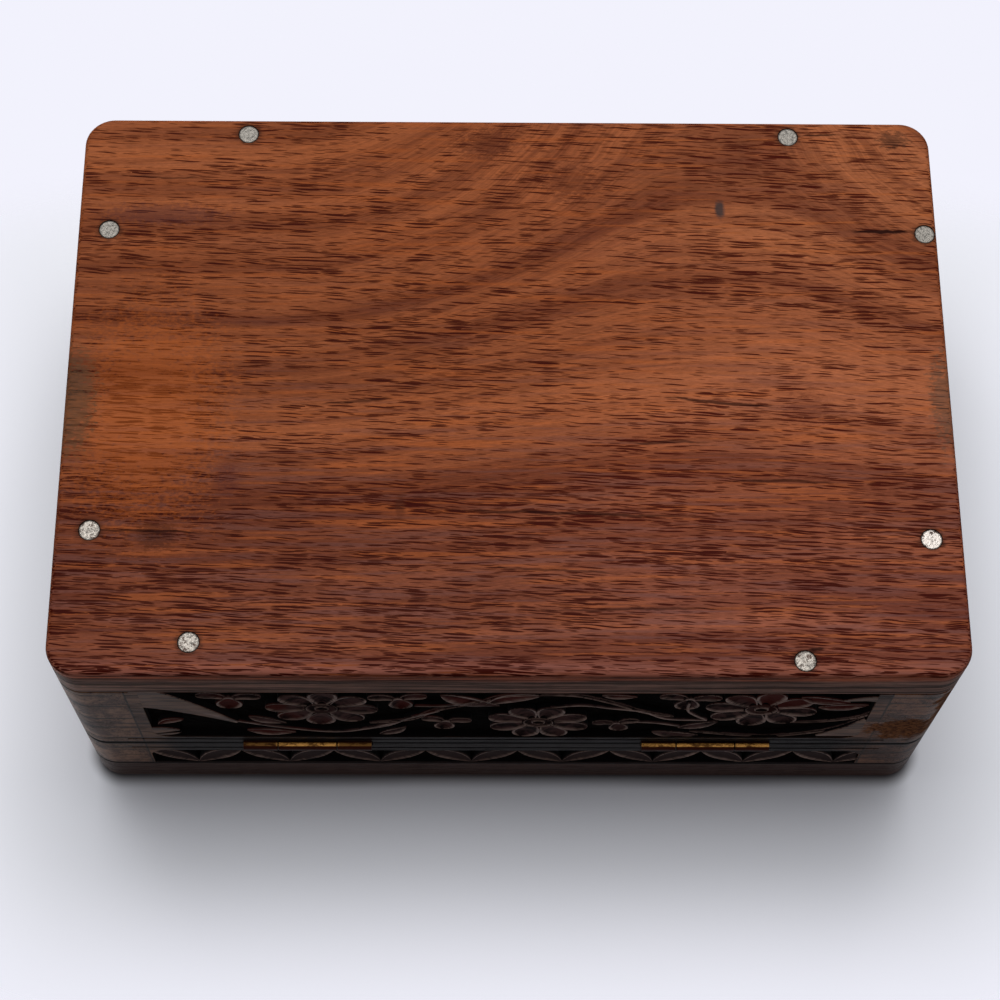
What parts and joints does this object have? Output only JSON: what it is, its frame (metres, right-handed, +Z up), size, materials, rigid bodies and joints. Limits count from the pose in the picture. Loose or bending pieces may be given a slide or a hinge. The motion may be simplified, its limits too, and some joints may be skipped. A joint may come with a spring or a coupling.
{
  "type": "trinket box",
  "caption": "Carved wooden keepsake box with a nailed base board and a shallow lid on brass butt hinges.",
  "frame": {"origin": "centre of the base board's underside, the face that the box stands on", "axes": "+Z up, through the lid; +X along the length, to the right as seen from the front; the front faces -Y and the hinges are on the back, at +Y"},
  "size_m": [0.152, 0.1068, 0.06],
  "materials": {
    "base_wood": "rubbed rosewood, worn and oiled, open pores",
    "carved_wood": "dark waxed rosewood, carved, ground stained nearly black",
    "lid_wood": "dark waxed rosewood, carved top",
    "brass": "tarnished brass, bright on the knuckles",
    "steel_nails": "dull grey steel, slightly rusted"
  },
  "bodies": {
    "box": {"base_board": "base_wood", "front_wall": "carved_wood", "back_wall": "carved_wood", "left_wall": "carved_wood", "right_wall": "carved_wood", "base_nails": "steel_nails", "left_hinge_box_leaf": "brass", "left_hinge_box_screws": "brass", "left_hinge_pin": "brass", "right_hinge_box_leaf": "brass", "right_hinge_box_screws": "brass", "right_hinge_pin": "brass"},
    "lid": {"lid_board": "lid_wood", "lid_front_rail": "carved_wood", "lid_back_rail": "carved_wood", "lid_left_rail": "carved_wood", "lid_right_rail": "carved_wood", "left_hinge_lid_leaf": "brass", "left_hinge_lid_screws": "brass", "right_hinge_lid_leaf": "brass", "right_hinge_lid_screws": "brass"}
  },
  "joints": [
    {"name": "lid_hinge", "type": "hinge", "parent": "box", "child": "lid", "pos_m": [0, 0.053, 0.038], "axis": [-1, 0, 0], "range_deg": [0, 180]}
  ]
}
